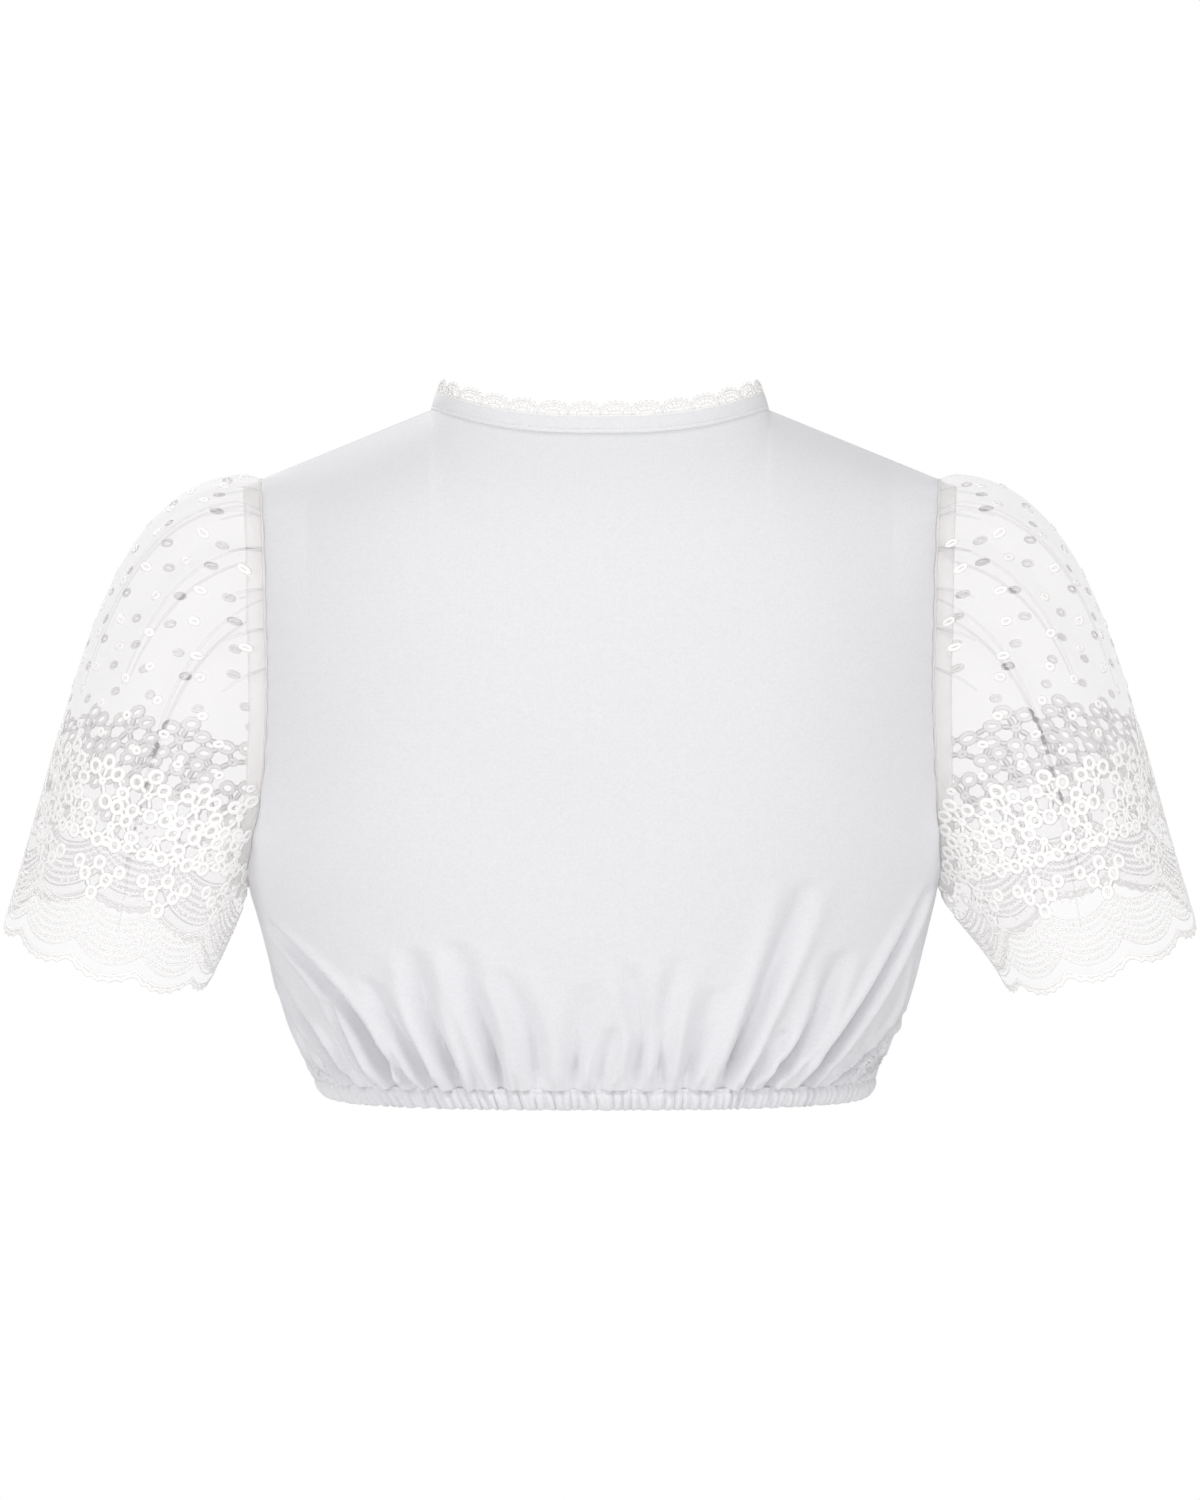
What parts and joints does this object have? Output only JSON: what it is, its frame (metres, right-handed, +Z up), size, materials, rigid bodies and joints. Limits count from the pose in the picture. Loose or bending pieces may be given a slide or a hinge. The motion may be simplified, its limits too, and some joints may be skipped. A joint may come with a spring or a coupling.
{
  "type": "dirndl blouse",
  "caption": "Short blouse in worn shape with V neck, gathered elastic hem and puffed sleeves of embroidered tulle, with no wearer.",
  "frame": {"origin": "midway between the inner ends of the shoulder seams, where the wearer's shoulders hold the blouse up", "axes": "+Z up, -Y the way the wearer faces, +X to the wearer's left"},
  "size_m": [0.6416, 0.2526, 0.3895],
  "materials": {
    "cotton": "fine plain-woven white cotton",
    "tulle": "sheer white tulle with white embroidery",
    "lace": "narrow white cotton lace edging"
  },
  "bodies": {
    "root": {"back": "cotton", "front": "cotton", "hem_casing": "cotton", "neck_band": "cotton", "neck_lace": "lace", "sleeve_left_back": "tulle", "sleeve_left_front": "tulle", "sleeve_right_back": "tulle", "sleeve_right_front": "tulle", "armhole_seam_left": "cotton", "armhole_seam_right": "cotton"}
  },
  "joints": []
}
